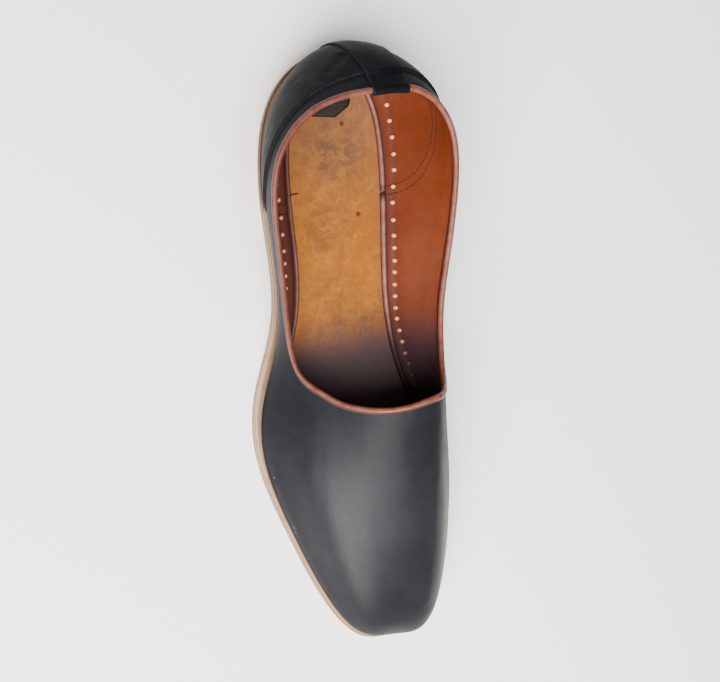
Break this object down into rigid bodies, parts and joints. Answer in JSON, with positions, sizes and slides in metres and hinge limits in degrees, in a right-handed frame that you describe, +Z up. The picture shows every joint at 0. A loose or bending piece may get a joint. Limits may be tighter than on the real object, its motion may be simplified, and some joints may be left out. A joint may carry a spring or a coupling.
{
  "type": "slip-on leather shoe",
  "caption": "Closed slip-on leather shoe for the right foot, with a wide collar, bound edge, heel counter, thin ledged sole and low heel lift.",
  "frame": {"origin": "middle of the shoe's overall box in plan, at floor level", "axes": "+Y from heel to toe, +X to the outer side of the right foot, +Z up"},
  "size_m": [0.099, 0.2944, 0.0673],
  "materials": {
    "sole_leather": "natural vegetable tanned, matt cut edge",
    "heel_leather": "stacked natural leather, matt cut edge",
    "insole_leather": "natural leather sock with faint marks",
    "rand_leather": "tan rolled edge, low sheen",
    "upper_leather": "smooth black outside with a soft sheen, tan lining inside",
    "counter_leather": "smooth black, slightly matt",
    "binding_leather": "tan folded binding, low sheen"
  },
  "bodies": {
    "root": {"outsole": "sole_leather", "heel_lift": "heel_leather", "insole": "insole_leather", "insole_rand": "rand_leather", "upper": "upper_leather", "heel_counter": "counter_leather", "heel_strip": "counter_leather", "topline_binding": "binding_leather"}
  },
  "joints": []
}
